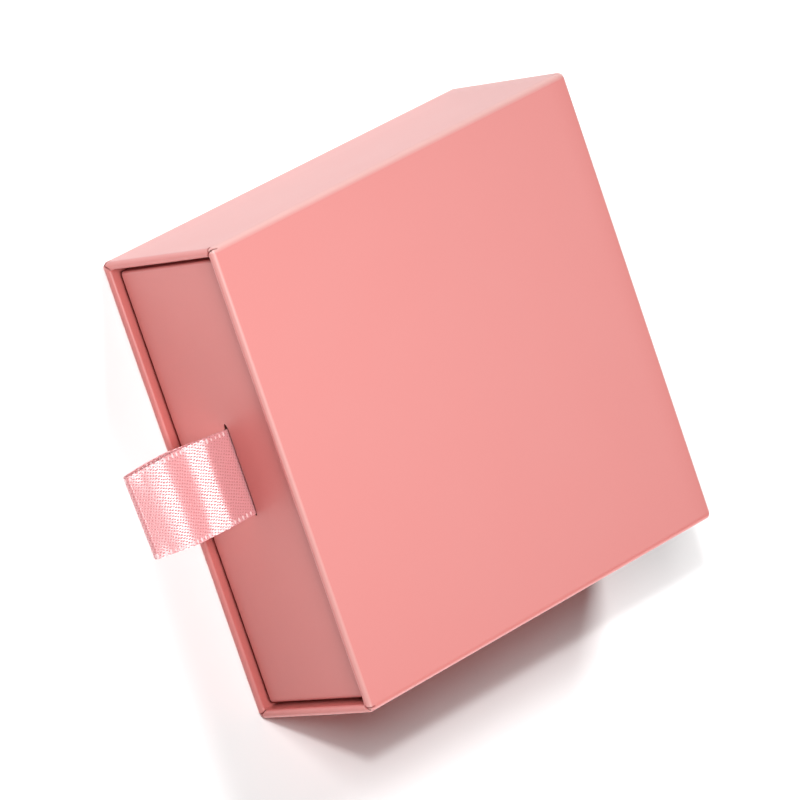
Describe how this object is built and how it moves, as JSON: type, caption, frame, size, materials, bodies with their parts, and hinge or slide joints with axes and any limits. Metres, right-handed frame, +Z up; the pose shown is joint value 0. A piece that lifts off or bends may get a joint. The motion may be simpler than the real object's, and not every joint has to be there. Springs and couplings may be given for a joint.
{
  "type": "sliding drawer gift box",
  "caption": "Rigid paper-wrapped gift box: a flat sleeve, open at one end, holds a sliding drawer tray that is drawn out by a folded satin ribbon loop.",
  "frame": {"origin": "centre of the sleeve's underside, on the surface that the box lies on", "axes": "+Z up through the box's thickness, +Y from the mouth to the closed back, along the drawer's slide, +X across the mouth"},
  "size_m": [0.1, 0.1275, 0.035],
  "materials": {
    "pink_paper": "smooth matt laminated wrapping paper",
    "greyboard": "uncoated solid greyboard",
    "kraft_tape": "gummed kraft paper tape",
    "satin_ribbon": "pink polyester satin with woven selvedges"
  },
  "bodies": {
    "sleeve": {"sleeve_top_board": "greyboard", "sleeve_bottom_board": "greyboard", "sleeve_left_board": "greyboard", "sleeve_right_board": "greyboard", "sleeve_back_board": "greyboard", "sleeve_seam_tape": "kraft_tape", "sleeve_back_tapes": "kraft_tape", "sleeve_wrap": "pink_paper", "sleeve_liner": "pink_paper", "sleeve_back_sheet": "pink_paper"},
    "drawer": {"drawer_base_board": "greyboard", "drawer_front_board": "greyboard", "drawer_back_board": "greyboard", "drawer_left_board": "greyboard", "drawer_right_board": "greyboard", "drawer_corner_tapes": "kraft_tape", "drawer_wrap": "pink_paper", "drawer_base_liner": "pink_paper", "ribbon_ends": "satin_ribbon", "ribbon_patch": "pink_paper"},
    "ribbon": {"ribbon_loop": "satin_ribbon"}
  },
  "joints": [
    {"name": "drawer_slide", "type": "slide", "parent": "sleeve", "child": "drawer", "axis": [0, -1, 0], "range_m": [0, 0.104]},
    {"name": "ribbon_flex", "type": "hinge", "parent": "drawer", "child": "ribbon", "pos_m": [0, -0.0511, 0.0182], "axis": [-1, 0, 0], "range_deg": [-25, 70], "stiffness_Nm_per_rad": 0.0006}
  ]
}
